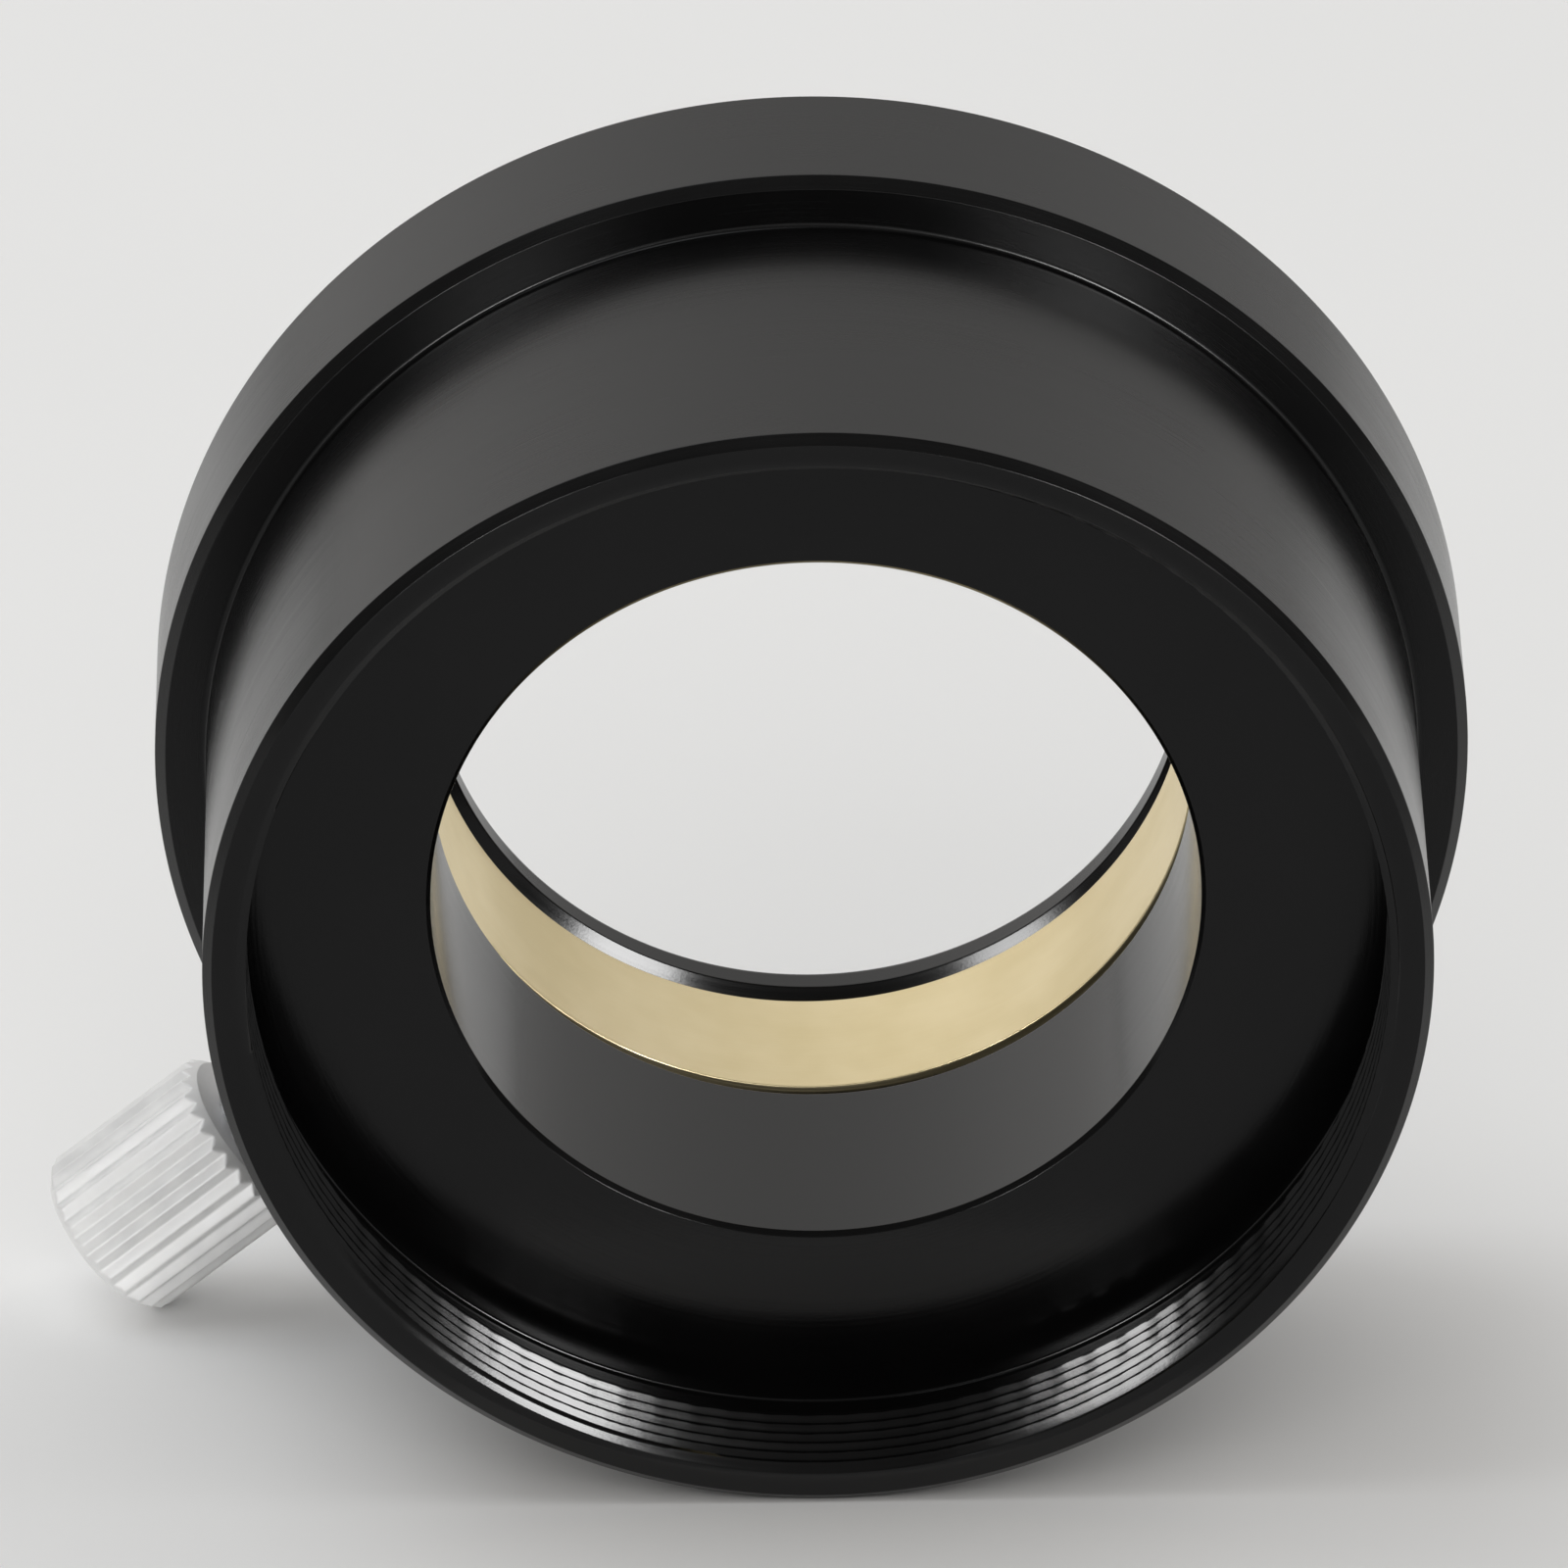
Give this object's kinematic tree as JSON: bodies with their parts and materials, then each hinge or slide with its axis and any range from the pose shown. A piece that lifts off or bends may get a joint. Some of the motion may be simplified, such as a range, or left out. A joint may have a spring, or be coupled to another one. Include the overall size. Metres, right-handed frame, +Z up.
{
  "type": "eyepiece adapter",
  "caption": "Black two-inch barrel with a filter thread, stepped down to a smaller eyepiece socket with a brass compression ring and a knurled thumbscrew.",
  "frame": {"origin": "on the optical axis, in the plane of the shoulder that the two-inch barrel seats against", "axes": "+Y along the optical axis, from the mouth of the barrel to the side where the eyepiece enters; +Z up; the thumbscrew points towards -X and -Z, 40.1 degrees below the horizontal"},
  "size_m": [0.0601, 0.0281, 0.0558],
  "materials": {
    "black_anodised": "black anodised, satin",
    "brass": "fine brushed",
    "bright_aluminium": "bright turned and knurled",
    "screw_steel": "plated thread"
  },
  "bodies": {
    "adapter": {"adapter_body": "black_anodised"},
    "compression_ring": {"compression_ring": "brass"},
    "screw_travel": {"thumbscrew_point": "screw_steel"},
    "thumbscrew": {"thumbscrew_head": "bright_aluminium", "thumbscrew_stud": "screw_steel"}
  },
  "joints": [
    {"name": "ring_clamp", "type": "slide", "parent": "adapter", "child": "compression_ring", "axis": [0.7649, 0, 0.6441], "range_m": [0, 0.0003], "stiffness_N_per_m": 400},
    {"name": "screw_advance", "type": "slide", "parent": "adapter", "child": "screw_travel", "axis": [0.7649, 0, 0.6441], "range_m": [-0.007, 0.00035]},
    {"name": "screw_turn", "type": "hinge", "parent": "screw_travel", "child": "thumbscrew", "pos_m": [0, 0.00395, 0], "axis": [0.7649, 0, 0.6441], "range_deg": [-3601, 181]}
  ],
  "couplings": [
    {"joint": "screw_turn", "follows": "screw_advance", "rad_per_m": 8976}
  ]
}
